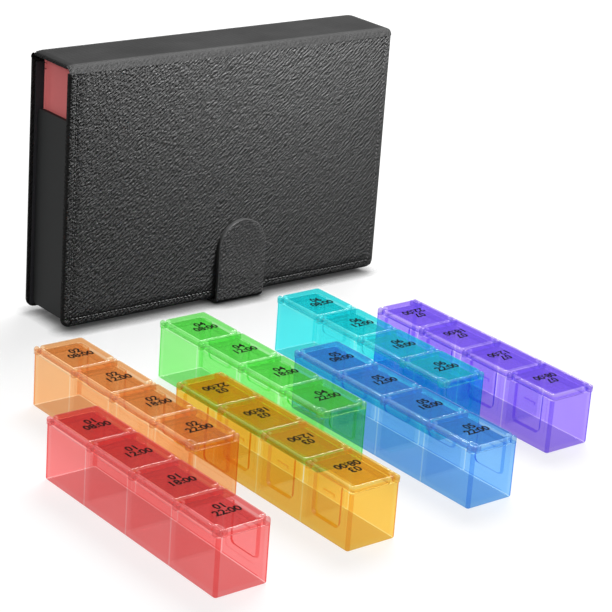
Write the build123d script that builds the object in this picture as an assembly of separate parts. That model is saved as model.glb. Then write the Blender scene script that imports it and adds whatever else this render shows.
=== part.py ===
import os

from build123d import *

os.makedirs("parts", exist_ok=True)

# Frame: X along the case's width, Y into the picture (front faces -Y), Z up from the table.
# Every size is in millimetres.

# Day box: a strip of four cells, each with its own hinged lid
cells = 4
box_length = 110.0
box_width = 22.8
box_height = 25.8
wall = 1.4
floor = 1.4
divider = 1.6
corner_ease = 0.8
foot_ease = 0.5

# Lid and its hinge along the left-hand long side
lid_height = 2.6
lid_plate = 1.2
lid_ease = 0.5
seam = 0.3
barrel_sides = 12
knuckle_length = 2.4
end_cap = 1.4
pin_radius = 0.55
pin_sides = 8
pin_clearance = 0.06
pin_reach = 1.0
bore_end = 0.2
root = 0.5
plug_depth = 1.4
plug_wall = 0.9
plug_clearance = 0.3
post_width = 2.5
post_ease = 0.7
cut_margin = 1.0

# Finger recess under each lid's free edge, with a short raised catch rib in it
recess_width = 15.2
recess_depth = 1.3
recess_floor_height = 6.9
recess_ease = 1.5
rib_length = 6.2
rib_height = 1.1
rib_proud = 0.5
rib_drop = 5.4

# Case: front panel, spine and rear cover of leather over board, round a three-sided tray
# that takes the seven boxes standing on end, side by side
leather = 1.0
panel_board = 1.4
panel_lining = 0.6
spine_board = 0.8
spine_lining = 0.4
turned_edge = 6.0
lining_inset = 1.6
panel_round = 2.6
fold_radius = 3.5
fold_gap = 0.3
fold_seam = 0.1
overhang = 2.6
tray_wall = 1.7
tray_rise = 2.4
tray_base = 1.4
strap_channel = 3.2
cover_gap = 0.6
window_height = 25.8
window_round = 3.0
stow_gap = 0.5
stow_behind = 0.7
stow_above = 1.7
tray_play = 9.8

# Closing strap: sewn to the rear cover, runs under the case and up the front as a magnetic tab
strap_width = 27.0
strap_thick = 1.8
strap_gap = 0.3
strap_bend = 1.0
bend_setback = 0.1
lean_length = 12.0
anchor_height = 30.0
tab_height = 37.5
tab_backing = 0.5
backing_margin = 1.0
tab_centre = 95.0
magnet_width = 14.0
magnet_height = 10.0
magnet_thick = 0.8
keeper_width = 18.0
keeper_height = 14.0
keeper_thick = 0.7
seat_clearance = 0.05
magnet_drop = 11.0

# Layout on the table, measured from the case's left edge and front face
box_places = {
    "red": (-73.0, -177.0, False),
    "orange": (-41.0, -115.5, False),
    "yellow": (-11.5, -173.0, True),
    "green": (20.5, -115.5, False),
    "blue": (50.5, -169.0, False),
    "cyan": (82.5, -115.5, False),
    "purple": (113.0, -147.0, True),
}

# Derived sizes
panel_thick = leather + panel_board + panel_lining
spine_thick = leather + spine_board + spine_lining
cell_pitch = box_length / cells
rim_height = box_height - lid_height
knuckle_radius = (lid_height - seam) / 2
hinge_height = box_height - knuckle_radius
hinge_offset = -box_width / 2 + knuckle_radius
case_width = len(box_places) * box_width + tray_play + 2 * (overhang + tray_wall)
case_height = strap_channel + tray_base + stow_gap + box_length + stow_above + spine_thick
case_depth = 2 * panel_thick + stow_gap + box_height + stow_behind
case_lift = strap_thick + strap_gap
left_most = box_places["red"][0] - box_width / 2
front_most = box_places["red"][1] - box_length / 2
origin_x = (left_most + case_width) / 2
origin_y = (front_most + case_depth + strap_bend + strap_thick) / 2
case_left = -origin_x
case_front = -origin_y


def block(x0, x1, y0, y1, z0, z1):
    return Pos((x0 + x1) / 2, (y0 + y1) / 2, (z0 + z1) / 2) * Box(x1 - x0, y1 - y0, z1 - z0)


# A bar on the hinge line, with flats; radius is to its corners, or to its flats for a bore
def hinge_bar(radius, sides, y0, y1, to_corners=True):
    profile = RegularPolygon(radius, sides, major_radius=to_corners)
    bar = extrude(Plane.XZ * profile, y0 - y1)
    return Pos(hinge_offset, y0, hinge_height) * bar


def cell_span(index):
    far = box_length / 2 - index * cell_pitch
    near = far - cell_pitch
    return far, near


def cell_inside(index):
    far, near = cell_span(index)
    far -= wall if index == 0 else divider / 2
    near += wall if index == cells - 1 else divider / 2
    return far, near


# Day box body. Long side -X carries the hinge, long side +X the finger recesses;
# the first cell is at +Y.
def make_body():
    half = box_width / 2
    shell = block(-half, half, -box_length / 2, box_length / 2, 0, rim_height)
    shell = chamfer(shell.edges().filter_by(Axis.Z), corner_ease)
    shell = chamfer(shell.faces().sort_by(Axis.Z)[0].edges(), foot_ease)
    pad_inner = half - wall - recess_depth
    pad_half = recess_width / 2 + wall
    over_rim = rim_height + cut_margin
    for index in range(cells):
        far, near = cell_inside(index)
        middle = sum(cell_span(index)) / 2
        cavity = block(-half + wall, half - wall, near, far, floor, over_rim)
        pad = block(pad_inner, half, middle - pad_half, middle + pad_half,
                    recess_floor_height - wall, over_rim)
        shell -= cavity - pad
    recess_back = half - recess_depth
    rib_z = rim_height - rib_drop
    for index in range(cells):
        middle = sum(cell_span(index)) / 2
        recess = block(recess_back, half + cut_margin, middle - recess_width / 2,
                       middle + recess_width / 2, recess_floor_height, over_rim)
        lower = recess.edges().filter_by(Axis.X).group_by(Axis.Z)[0]
        shell -= chamfer(lower, recess_ease)
        shell += block(recess_back, recess_back + rib_proud, middle - rib_length / 2,
                       middle + rib_length / 2, rib_z - rib_height / 2, rib_z + rib_height / 2)
    # Hinge knuckles on the left wall and plain posts on the right wall
    for index in range(cells):
        far, near = cell_span(index)
        shell += knuckle(far - knuckle_length, far)
        post = block(half - post_width, half, near, near + knuckle_length,
                     rim_height - root, box_height)
        crest = post.edges().filter_by(Axis.Y).group_by(Axis.Z)[-1].sort_by(Axis.X)[-1:]
        shell += chamfer(crest, post_ease)
    tail = -box_length / 2 + end_cap + seam
    shell += knuckle(tail, tail + knuckle_length)
    # Bores for the lids' stub pins: through the inner knuckles, blind in the two end ones
    bore = pin_radius + pin_clearance
    for index in range(cells):
        far, near = cell_span(index)
        shell -= hinge_bar(bore, pin_sides, far - knuckle_length - cut_margin,
                           far if index else far - end_cap, False)
    shell -= hinge_bar(bore, pin_sides, tail - cut_margin, tail + pin_reach + bore_end, False)
    return shell


# One hinge knuckle standing on the left wall, round on the hinge line
def knuckle(near, far):
    stem = block(-box_width / 2, -box_width / 2 + 2 * knuckle_radius, near, far,
                 rim_height - root, hinge_height)
    return stem + hinge_bar(knuckle_radius, barrel_sides, near, far)


# Lid of one cell: a capped block whose left edge is a round hinge barrel with a stub pin at
# each end, and a hollow plug that drops into the cell
def make_lid(index):
    half = box_width / 2
    far, near = cell_span(index)
    top = far if index == 0 else far - seam / 2
    low = near if index == cells - 1 else near + seam / 2
    cap = block(hinge_offset, half, low, top, rim_height + seam, box_height)
    upper = cap.faces().sort_by(Axis.Z)[-1]
    eased = upper.edges().filter_by(Axis.Y).sort_by(Axis.X)[-1:] + upper.edges().filter_by(Axis.X)
    cap = chamfer(eased, lid_ease)
    cap += hinge_bar(knuckle_radius, barrel_sides, low, top)
    inside_far, inside_near = cell_inside(index)
    plug_left = -half + wall + plug_clearance
    plug_right = half - wall - recess_depth - plug_clearance
    plug_low = rim_height - plug_depth
    plate_low = box_height - lid_plate
    cap += block(plug_left, plug_right, inside_near + plug_clearance, inside_far - plug_clearance,
                 plug_low, plate_low)
    margin = plug_clearance + plug_wall
    cap -= block(plug_left + plug_wall, plug_right - plug_wall, inside_near + margin,
                 inside_far - margin, plug_low - cut_margin, plate_low)
    # Notches round the box's knuckle and post
    notch = -half + 2 * knuckle_radius + seam
    barrel_far = far - knuckle_length - seam
    below = plug_low - cut_margin
    above = box_height + cut_margin
    cap -= block(-half - cut_margin, notch, barrel_far, far + cut_margin, below, above)
    cap -= block(half - post_width - seam, half + cut_margin, near - cut_margin,
                 near + knuckle_length + seam, below, above)
    cap += hinge_bar(pin_radius, pin_sides, barrel_far - root, barrel_far + seam + pin_reach)
    if index < cells - 1:
        cap += hinge_bar(pin_radius, pin_sides, low - pin_reach, low + root)
    else:
        tail = near + end_cap
        cap -= block(-half - cut_margin, notch, tail, tail + knuckle_length + 2 * seam, below, above)
        cap += hinge_bar(pin_radius, pin_sides, tail - root, tail + seam + pin_reach)
    return cap


nodes = {}
body_shape = make_body()
lid_shapes = [make_lid(index) for index in range(cells)]

for name, (along, deep, turned) in box_places.items():
    place = Pos(case_left + along, case_front + deep, 0) * Rot(0, 0, 180 if turned else 0)
    nodes[name + "_box"] = place * body_shape
    for index in range(cells):
        nodes[name + "_lid_%d" % (index + 1)] = place * lid_shapes[index]

# The day box that shows in the case's finger window stands on end in the tray, lids to the rear
case_right = case_left + case_width
tray_left = case_left + overhang
tray_right = case_right - overhang
panel_bottom = case_lift
case_top = case_lift + case_height
tray_front = case_front + panel_thick
cover_inside = case_front + case_depth - panel_thick
tray_back = cover_inside - cover_gap
tray_floor = panel_bottom + strap_channel + tray_base
stow = Pos(tray_left + tray_wall + stow_gap + box_width / 2, tray_front + stow_gap,
           tray_floor + stow_gap + box_length / 2) * Rot(-90, 0, 0)
nodes["stowed_box"] = stow * body_shape
nodes["stowed_lids"] = Compound([stow * shape for shape in lid_shapes])


# A covered panel standing in the XZ plane: leather turned round a board, lined inside.
# depth_sign is +1 when the leather faces -Y and -1 when it faces +Y.
def make_panel(outer_y, depth_sign):
    low = panel_bottom
    high = case_top - fold_radius - fold_seam
    skin_y = outer_y + depth_sign * (leather + panel_board)
    board_y = outer_y + depth_sign * leather
    line_y = outer_y + depth_sign * panel_thick
    skin = block(case_left, case_right, min(outer_y, skin_y), max(outer_y, skin_y), low, high)
    corners = skin.edges().filter_by(Axis.Y).group_by(Axis.Z)[0]
    skin = fillet(corners, panel_round)
    board = block(case_left + turned_edge, case_right - turned_edge, min(board_y, skin_y),
                  max(board_y, skin_y), low + turned_edge, high - turned_edge)
    lining = block(case_left + lining_inset, case_right - lining_inset, min(skin_y, line_y),
                   max(skin_y, line_y), low + lining_inset, high - lining_inset)
    return skin - board, board, lining


front_skin, front_board, front_lining = make_panel(case_front, 1)
rear_skin, rear_board, rear_lining = make_panel(case_front + case_depth, -1)

# Steel keeper plate let into the front board, behind the magnet
tab_x = case_left + tab_centre
tab_top = tab_height + case_lift
magnet_z = tab_top - magnet_drop
keeper_y = case_front + leather


def plate(width, height, y0, y1, slack=0.0):
    reach = width / 2 + slack
    rise = height / 2 + slack
    return block(tab_x - reach, tab_x + reach, y0, y1, magnet_z - rise, magnet_z + rise)


keeper_end = keeper_y + keeper_thick
keeper_seat = plate(keeper_width, keeper_height, keeper_y, keeper_end, seat_clearance)
nodes["front_leather"] = front_skin
nodes["front_board"] = front_board - keeper_seat
nodes["front_keeper"] = plate(keeper_width, keeper_height, keeper_y, keeper_end)
nodes["front_lining"] = front_lining
nodes["cover_leather"] = rear_skin
nodes["cover_board"] = rear_board
nodes["cover_lining"] = rear_lining

# Tray walls on the front panel's lining; the side walls stop short to leave finger windows
window_sill = case_top - window_height
wall_low = panel_bottom + tray_rise
left_wall = block(tray_left, tray_left + tray_wall, tray_front, tray_back, wall_low, window_sill)
right_wall = block(tray_right - tray_wall, tray_right, tray_front, tray_back, wall_low, window_sill)


def ease_wall(side):
    free_edges = side.edges().filter_by(Axis.X).group_by(Axis.Y)[-1]
    return fillet(free_edges, window_round)


nodes["tray_wall_left"] = ease_wall(left_wall)
nodes["tray_wall_right"] = ease_wall(right_wall)
# The tray's base sits higher than the side walls, which leaves a channel for the strap
nodes["tray_wall_bottom"] = block(tray_left + tray_wall, tray_right - tray_wall, tray_front,
                                  tray_back - window_round, tray_floor - tray_base, tray_floor)

# Spine across the top, between the two leather folds
spine_front = case_front + fold_radius + fold_gap
spine_back = case_front + case_depth - fold_radius - fold_gap
spine_low = case_top - spine_thick
skin_low = case_top - leather - spine_board
spine_skin = block(case_left, case_right, spine_front, spine_back, skin_low, case_top)
spine_fill = block(case_left + turned_edge, case_right - turned_edge, spine_front + turned_edge / 2,
                   spine_back - turned_edge / 2, skin_low, case_top - leather)
nodes["spine_leather"] = spine_skin - spine_fill
nodes["spine_board"] = spine_fill
nodes["spine_lining"] = block(case_left + lining_inset, case_right - lining_inset,
                              spine_front + lining_inset, spine_back - lining_inset,
                              spine_low, skin_low)


# Leather fold from a panel's top edge to the spine: a quarter round that runs on both ways
def make_fold(centre_y, quarter):
    centre_z = case_top - fold_radius
    ring = Cylinder(fold_radius, case_width) - Cylinder(fold_radius - leather, case_width)
    ring = Pos((case_left + case_right) / 2, centre_y, centre_z) * Rot(0, 90, 0) * ring
    reach_y = centre_y + quarter * fold_radius
    keep = block(case_left, case_right, min(centre_y, reach_y), max(centre_y, reach_y),
                 centre_z, case_top)
    tongue_y = centre_y - quarter * fold_gap
    tongue = block(case_left, case_right, min(centre_y, tongue_y), max(centre_y, tongue_y),
                   case_top - leather, case_top)
    return (ring & keep) + tongue


nodes["front_fold"] = make_fold(case_front + fold_radius, -1)
nodes["rear_fold"] = make_fold(case_front + case_depth - fold_radius, 1)

# Strap: anchored flat on the rear cover, round its lower edge and forward under the case
bend_outer = strap_bend + strap_thick
rear_face = case_front + case_depth
front_bend_y = case_front + bend_setback
rear_bend_y = rear_face
anchor_top = case_lift + anchor_height


def make_bend(centre_y, side):
    ring = Cylinder(bend_outer, strap_width) - Cylinder(strap_bend, strap_width)
    ring = Pos(tab_x, centre_y, bend_outer) * Rot(0, 90, 0) * ring
    reach_y = centre_y + side * bend_outer
    keep = block(tab_x - strap_width / 2, tab_x + strap_width / 2, min(centre_y, reach_y),
                 max(centre_y, reach_y), 0, bend_outer)
    return ring & keep


# The anchor leaf lies against the cover above the bend and eases out to it below
def leaf(points):
    profile = make_face(Polyline(*points, close=True))
    sheet = extrude(Plane.YZ * profile, strap_width)
    return Pos(tab_x - strap_width / 2, 0, 0) * sheet


lean_height = bend_outer + lean_length
anchor_near = rear_bend_y + strap_bend
anchor_far = anchor_near + strap_thick
anchor = leaf([
    (anchor_near, bend_outer),
    (anchor_far, bend_outer),
    (rear_face + strap_thick, lean_height),
    (rear_face + strap_thick, anchor_top),
    (rear_face, anchor_top),
    (rear_face, lean_height),
])
under = block(tab_x - strap_width / 2, tab_x + strap_width / 2, front_bend_y, rear_bend_y,
              0, strap_thick)
nodes["tab_anchor"] = anchor + make_bend(rear_bend_y, 1)
nodes["tab_strap"] = under

# Tab: the strap's free end, bent round the front panel's lower edge and standing up its face,
# with a round top and a magnet inside
tab_back = front_bend_y - fold_seam - strap_bend
tab_face = tab_back - strap_thick
rest_back = case_front - strap_gap
rest_face = rest_back - strap_thick
tab_solid = leaf([
    (tab_face, bend_outer),
    (tab_back, bend_outer),
    (rest_back, lean_height),
    (rest_back, tab_top),
    (rest_face, tab_top),
    (rest_face, lean_height),
])
round_z = tab_top - strap_width / 2
outline_y = tab_face - cut_margin
outline = block(tab_x - strap_width / 2, tab_x + strap_width / 2, outline_y, case_front,
                bend_outer, round_z)
round_end = Rot(90, 0, 0) * Cylinder(strap_width / 2, case_front - outline_y)
outline += Pos(tab_x, (outline_y + case_front) / 2, round_z) * round_end
tab_solid = tab_solid & outline
split_y = rest_back - tab_backing
backing_low = lean_height + backing_margin
backing_zone = block(tab_x - strap_width, tab_x + strap_width, split_y, case_front,
                     backing_low, tab_top + cut_margin)
magnet_face = split_y - magnet_thick
magnet_seat = plate(magnet_width, magnet_height, magnet_face, split_y, seat_clearance)
nodes["tab_tip"] = make_bend(front_bend_y - fold_seam, -1) + (tab_solid - backing_zone - magnet_seat)
nodes["tab_backing"] = tab_solid & backing_zone
nodes["tab_magnet"] = plate(magnet_width, magnet_height, magnet_face, split_y)

for name, shape in nodes.items():
    shape.label = name
    export_step(shape, "parts/%s.step" % name)
    print(name, "solids", len(shape.solids()), "volume", round(shape.volume, 1))
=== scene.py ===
import math
import bmesh
import bpy
from mathutils import Matrix, Vector, noise


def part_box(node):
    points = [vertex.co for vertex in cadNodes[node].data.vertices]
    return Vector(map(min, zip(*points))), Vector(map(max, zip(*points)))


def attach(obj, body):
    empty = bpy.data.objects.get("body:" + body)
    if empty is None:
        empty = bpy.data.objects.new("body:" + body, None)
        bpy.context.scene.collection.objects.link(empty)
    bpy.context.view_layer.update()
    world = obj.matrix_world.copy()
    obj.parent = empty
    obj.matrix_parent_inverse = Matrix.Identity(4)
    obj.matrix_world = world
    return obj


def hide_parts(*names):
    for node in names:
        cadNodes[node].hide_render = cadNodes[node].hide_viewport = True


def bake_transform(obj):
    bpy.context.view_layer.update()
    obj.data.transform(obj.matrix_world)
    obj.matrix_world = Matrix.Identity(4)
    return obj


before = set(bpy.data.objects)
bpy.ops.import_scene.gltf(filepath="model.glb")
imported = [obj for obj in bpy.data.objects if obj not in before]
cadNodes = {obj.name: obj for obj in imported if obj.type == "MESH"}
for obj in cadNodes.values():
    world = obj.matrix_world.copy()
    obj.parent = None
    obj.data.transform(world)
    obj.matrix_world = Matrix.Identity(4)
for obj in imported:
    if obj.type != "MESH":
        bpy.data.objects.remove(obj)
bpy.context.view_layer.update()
scene = bpy.context.scene
mm = 0.001
print("frame loaded:", len(cadNodes), "nodes")

scene.view_settings.view_transform = "Standard"
scene.cycles.transparent_max_bounces = 48   # many clear walls stand behind each other
scene.cycles.max_bounces = 14


# small helpers for shader trees and meshes

def startMaterial(name):
    mat = bpy.data.materials.new(name)
    mat.use_nodes = True
    mat.node_tree.nodes.clear()
    return mat, mat.node_tree


# a value that is another node's socket is linked, any other is set
def addNode(tree, kind, values=None, **settings):
    made = tree.nodes.new("ShaderNode" + kind)
    for key, value in settings.items():
        setattr(made, key, value)
    for key, value in (values or {}).items():
        if isinstance(value, bpy.types.NodeSocket):
            tree.links.new(value, made.inputs[key])
        else:
            made.inputs[key].default_value = value
    return made


def math2(tree, operation, first, second):
    return addNode(tree, "Math", {0: first, 1: second}, operation=operation).outputs[0]


def ramp(tree, factor, stops):
    made = addNode(tree, "ValToRGB", {"Fac": factor})
    for element, (place, colour) in zip(made.color_ramp.elements, stops):
        element.position = place
        element.color = (*colour, 1.0)
    return made.outputs["Color"]


def remap(tree, value, source, target=(0, 1), kind="LINEAR"):
    made = addNode(tree, "MapRange", {"Value": value, "From Min": source[0], "From Max": source[1],
                                      "To Min": target[0], "To Max": target[1]}, interpolation_type=kind)
    return made.outputs["Result"]


def objectPlace(tree):
    return addNode(tree, "TexCoord").outputs["Object"]


def millimetres(tree, tilt=0, stretch=(1, 1, 1)):
    turned = addNode(tree, "Mapping", {"Vector": objectPlace(tree), "Rotation": (0, math.radians(tilt), 0)})
    inMillimetres = [share / mm for share in stretch]
    scaled = addNode(tree, "Mapping", {"Vector": turned.outputs["Vector"], "Scale": inMillimetres})
    return scaled.outputs["Vector"]


def noiseOf(tree, vector, scale, detail=3.0, rough=0.5):
    made = addNode(tree, "TexNoise", {"Vector": vector, "Scale": scale, "Detail": detail, "Roughness": rough})
    return made.outputs["Fac"]


def bumpOf(tree, height, strength, distance):
    made = addNode(tree, "Bump", {"Height": height, "Strength": strength, "Distance": distance})
    return made.outputs["Normal"]


def surface(tree, shader, kind="OutputMaterial"):
    addNode(tree, kind, {"Surface": shader.outputs[0]})


def linear(code):
    channels = [int(code[i:i + 2], 16) / 255 for i in (1, 3, 5)]
    return tuple(c / 12.92 if c <= 0.04045 else ((c + 0.055) / 1.055) ** 2.4 for c in channels)


# quads between rings of points that follow each other, the first point being number base
def joinRings(base, rings, ring):
    faces = []
    for i in range(rings - 1):
        for k in range(ring):
            a = base + i * ring + k
            b = base + i * ring + (k + 1) % ring
            faces.append((a, b, b + ring, a + ring))
    return faces


def addObject(name, data):
    made = bpy.data.objects.new(name, data)
    scene.collection.objects.link(made)
    return made


def smoothMesh(bm, mesh, angle):
    bmesh.ops.recalc_face_normals(bm, faces=bm.faces)
    bm.to_mesh(mesh)
    bm.free()
    mesh.shade_smooth()
    mesh.set_sharp_from_angle(angle=math.radians(angle))


def meshObject(name, verts, faces, material, smoothAngle=35):
    mesh = bpy.data.meshes.new(name)
    mesh.from_pydata([tuple(v) for v in verts], [], faces)
    mesh.validate()
    bm = bmesh.new()
    bm.from_mesh(mesh)
    smoothMesh(bm, mesh, smoothAngle)
    mesh.materials.append(material)
    return addObject(name, mesh)


# tinted clear plastic of the day boxes, in eight finishes

plasticLook = {
    "walls": {   # colour of one wall of the box, seen against white
        "red": "#FF8383",
        "orange": "#FFBE80",
        "yellow": "#FFCB4E",
        "green": "#97FF8C",
        "blue": "#7CC0FF",
        "cyan": "#4CF3F8",
        "purple": "#A88AFF",
    },
    # share of the wall's colour in one skin, shade, milkiness, its depth and shade, gloss, gloss at the rim
    "finishes": {
        "skin": (0.44, 1.0, 0.05, 0.9, 1.0, 0.025, 0.5),
        "inside": (0.06, 1.0, 0.0, 0.9, 1.0, 0.01, 0.15),
        # edge: rims, knuckles, posts and hinge bars in a paler, milkier tint than the walls, painted
        # highlight on their rounded edges
        "edge": (0.27, 1.0, 0.2, 0.6, 1.0, 0.03, 0.32),
        # lid: the deeper tint of the plate, with a darker shade and a dimmer milky body that are painted
        # shade on the lids
        "lid": (0.5, 0.9, 0.36, 1.4, 0.58, 0.008, 0.12),
        # base: the bottom's deeper tint, with a shade of 0.8 that is painted shadow under the box
        "base": (0.5, 0.8, 0.02, 1.0, 1.0, 0.02, 0.3),
        # seam: nearly untinted strips on the outer wall over the dividers and round the foot, pale lines that
        # are painted highlight
        "seam": (0.06, 1.0, 0.06, 0.4, 1.0, 0.02, 0.2),
        "divider": (0.1, 0.98, 0.02, 0.9, 1.0, 0.015, 0.2),
        "frame": (0.95, 0.95, 0.05, 0.9, 1.0, 0.03, 0.4),
    },
    # yellow and purple lids get a lighter painted shade than the others
    "lidDim": {"yellow": 0.66, "purple": 0.78},   # lids whose milky shade is not the usual one
    # the stowed box's milkier body is painted light for the box in the shaded case
    "stowedMilk": {"inside": 0.14, "others": 0.7},
    "stowedRest": (0.9, 1.0, 0.008, 0.15),
    "roughness": 0.07, "rimPower": 6.0,
    "flowScale": 0.06, "thinShare": 0.9, "cloudShade": 0.94,
    "skinScale": 0.9, "skinBump": 0.04, "skinDepth": 0.2 * mm,
}


def makePlastic(name, wall, finish):
    share, shade, milk, depth, dim, gloss, rim = finish
    mat, tree = startMaterial(name)
    where = millimetres(tree)
    flow = noiseOf(tree, where, plasticLook["flowScale"], 2.0)
    tint = tuple(shade * c ** share for c in wall)
    thin = tuple(shade * c ** (share * plasticLook["thinShare"]) for c in wall)
    clear = addNode(tree, "BsdfTransparent", {"Color": ramp(tree, flow, [(0.3, tint), (0.75, thin)])})
    skin = noiseOf(tree, where, plasticLook["skinScale"], 4.0)
    normal = bumpOf(tree, skin, plasticLook["skinBump"], plasticLook["skinDepth"])
    cloud = tuple(dim * c ** depth for c in wall)
    shaded = tuple(plasticLook["cloudShade"] * c for c in cloud)
    body = addNode(tree, "BsdfPrincipled", {"Base Color": ramp(tree, flow, [(0.25, shaded), (0.8, cloud)]),
                                            "Roughness": 0.3, "Specular IOR Level": 0.0, "Normal": normal})
    milky = addNode(tree, "MixShader", {"Fac": milk, 1: clear.outputs[0], 2: body.outputs[0]})
    shine = addNode(tree, "BsdfGlossy", {"Color": (1, 1, 1, 1), "Roughness": plasticLook["roughness"],
                                         "Normal": normal})
    facing = addNode(tree, "LayerWeight", {"Blend": 0.5})
    steep = math2(tree, "POWER", facing.outputs["Facing"], plasticLook["rimPower"])
    weight = math2(tree, "ADD", math2(tree, "MULTIPLY", steep, rim), gloss)
    surface(tree, addNode(tree, "MixShader", {"Fac": weight, 1: milky.outputs[0], 2: shine.outputs[0]}))
    return mat


plastics = {}
for colour, wallCode in plasticLook["walls"].items():
    plastics[colour] = []
    for finish, values in plasticLook["finishes"].items():
        if finish == "lid":
            values = (*values[:4], plasticLook["lidDim"].get(colour, values[4]), *values[5:])
        plastics[colour].append(makePlastic(colour + finish.capitalize(), linear(wallCode), values))
litStowedReds = []   # the same red, milkier for the box that lies against the dark lining: a lit copy of the red, painted light
for finish, values in plasticLook["finishes"].items():
    milk = plasticLook["stowedMilk"].get(finish, plasticLook["stowedMilk"]["others"])
    values = (*values[:2], milk, *plasticLook["stowedRest"])
    redWall = linear(plasticLook["walls"]["red"])
    litStowedReds.append(makePlastic("stowed" + finish.capitalize(), redWall, values))
skinZone, insideZone, highlightEdgeZone, shadedLidZone, shadedBaseZone, highlightSeamZone, dividerZone, frameZone = range(8)
print("plastics ready:", len(plastics))


# leather, vinyl, suede, board, steel, thread and ink

# deep and high are the tones of the grain's valleys and ridges; the darker valleys are painted shade
leatherLook = {"deep": "#1A1A1A", "high": "#242424", "flatDeep": "#1B1B1B", "flatHigh": "#232323",
               "grainLength": 1.2, "grainWidth": 0.6, "tilt": 42, "depth": 0.56 * mm,
               "strokeScale": 0.115, "wander": 4.6, "wanderScale": 2.9, "fineScale": 2.4,
               "strokeShare": 0.5, "ridgeShare": 0.5, "fineShare": 0.08,
               "pressFrom": 1.4 * mm, "pressTo": 0.3 * mm, "pressedGrain": 0.1,
               "plainScale": 0.05, "patchScale": 0.03, "roughness": (0.5, 0.62), "shine": 0.06}


def makeLeather(name, smoothAbove=None):
    look = leatherLook
    mat, tree = startMaterial(name)
    long = 1 / look["grainLength"]
    wide = 1 / look["grainWidth"]
    where = millimetres(tree, look["tilt"], (long, wide, wide))
    strokes = addNode(tree, "TexWave", {"Vector": where, "Scale": look["strokeScale"], "Detail": 1.0,
                                        "Distortion": look["wander"], "Detail Scale": look["wanderScale"]},
                      bands_direction="Z")
    ridge = remap(tree, noiseOf(tree, where, 1.0, 0.6), (0.3, 0.7), kind="SMOOTHSTEP")
    fine = noiseOf(tree, where, look["fineScale"], 3.0, 0.6)
    height = math2(tree, "ADD", math2(tree, "MULTIPLY", strokes.outputs["Fac"], look["strokeShare"]),
                   math2(tree, "MULTIPLY", ridge, look["ridgeShare"]))
    height = math2(tree, "ADD", height, math2(tree, "MULTIPLY", fine, look["fineShare"]))
    # the tone follows the grain's height, darker in the valleys: painted shade in the grain
    grainShadedTone = ramp(tree, height, [(0.05, linear(look["deep"])), (1.0, linear(look["high"]))])
    grain = 1.0
    if smoothAbove is not None:   # the grain is pressed flat over the spine
        split = addNode(tree, "SeparateXYZ", {0: objectPlace(tree)})
        band = smoothAbove - look["pressFrom"], smoothAbove - look["pressTo"]
        grain = remap(tree, split.outputs["Z"], band, (1.0, look["pressedGrain"]), "SMOOTHSTEP")
        flat = ramp(tree, noiseOf(tree, where, look["plainScale"]),
                    [(0.2, linear(look["flatDeep"])), (0.8, linear(look["flatHigh"]))])
        press = addNode(tree, "Mix", {"Factor": grain, "A": flat, "B": grainShadedTone}, data_type="RGBA")
        grainShadedTone = press.outputs["Result"]
    rough = remap(tree, noiseOf(tree, where, look["patchScale"]), (0.3, 0.7), look["roughness"])
    surface(tree, addNode(tree, "BsdfPrincipled", {
        "Base Color": grainShadedTone, "Roughness": rough, "IOR": 1.48, "Specular IOR Level": look["shine"],
        "Normal": bumpOf(tree, height, grain, look["depth"])}))
    return mat


mattLook = {"detail": 5.0, "noiseRough": 0.6, "roughSpread": 0.08, "bump": 0.6}


def makeMatt(name, low, high, scale, depth, roughness, stretch=(1, 1, 1), metal=0.0, shine=0.2):
    mat, tree = startMaterial(name)
    where = millimetres(tree, stretch=stretch)
    grain = noiseOf(tree, where, scale, mattLook["detail"], mattLook["noiseRough"])
    spread = roughness - mattLook["roughSpread"], roughness + mattLook["roughSpread"]
    surface(tree, addNode(tree, "BsdfPrincipled", {
        "Base Color": ramp(tree, grain, [(0.3, linear(low)), (0.7, linear(high))]),
        "Metallic": metal, "Specular IOR Level": shine, "Roughness": remap(tree, grain, (0, 1), spread),
        "Normal": bumpOf(tree, grain, mattLook["bump"], depth * mm)}))
    return mat


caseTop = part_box("spine_leather")[1].z
caseLeather = makeLeather("caseLeather", caseTop)
tabLeather = makeLeather("tabLeather")
sideVinyl = makeMatt("sideVinyl", "#151616", "#1F2121", 1.6, 0.05, 0.6)
suede = makeMatt("suedeLining", "#2A2A2D", "#3C3C40", 3.0, 0.12, 0.9)
greyBoard = makeMatt("greyBoard", "#6E6A63", "#8A857C", 0.9, 0.08, 0.9, (0.3, 1, 1))
brushedSteel = makeMatt("brushedSteel", "#9A9A9C", "#C4C4C6", 2.0, 0.02, 0.35, (0.05, 1, 1), 1.0)
blackThread = makeMatt("blackThread", "#1E1E1E", "#303030", 4.0, 0.06, 0.7, (1, 3, 3))
edgePaint = makeMatt("edgePaint", "#171717", "#242424", 1.2, 0.05, 0.5)
labelInk = makeMatt("labelInk", "#0E0A0A", "#171212", 2.0, 0.01, 0.7, shine=0.02)
print("leather and trims ready")

for material, nodeNames in ((greyBoard, ("front_board", "cover_board", "spine_board")),
                            (suede, ("front_lining", "cover_lining", "spine_lining")),
                            (sideVinyl, ("tray_wall_left", "tray_wall_right", "tray_wall_bottom")),
                            (brushedSteel, ("front_keeper", "tab_magnet"))):
    for nodeName in nodeNames:
        mesh = cadNodes[nodeName].data
        mesh.materials.clear()
        mesh.materials.append(material)
print("CAD nodes dressed")


# day boxes: moulded shells with rounded edges, sizes in millimetres as in the solids

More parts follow.
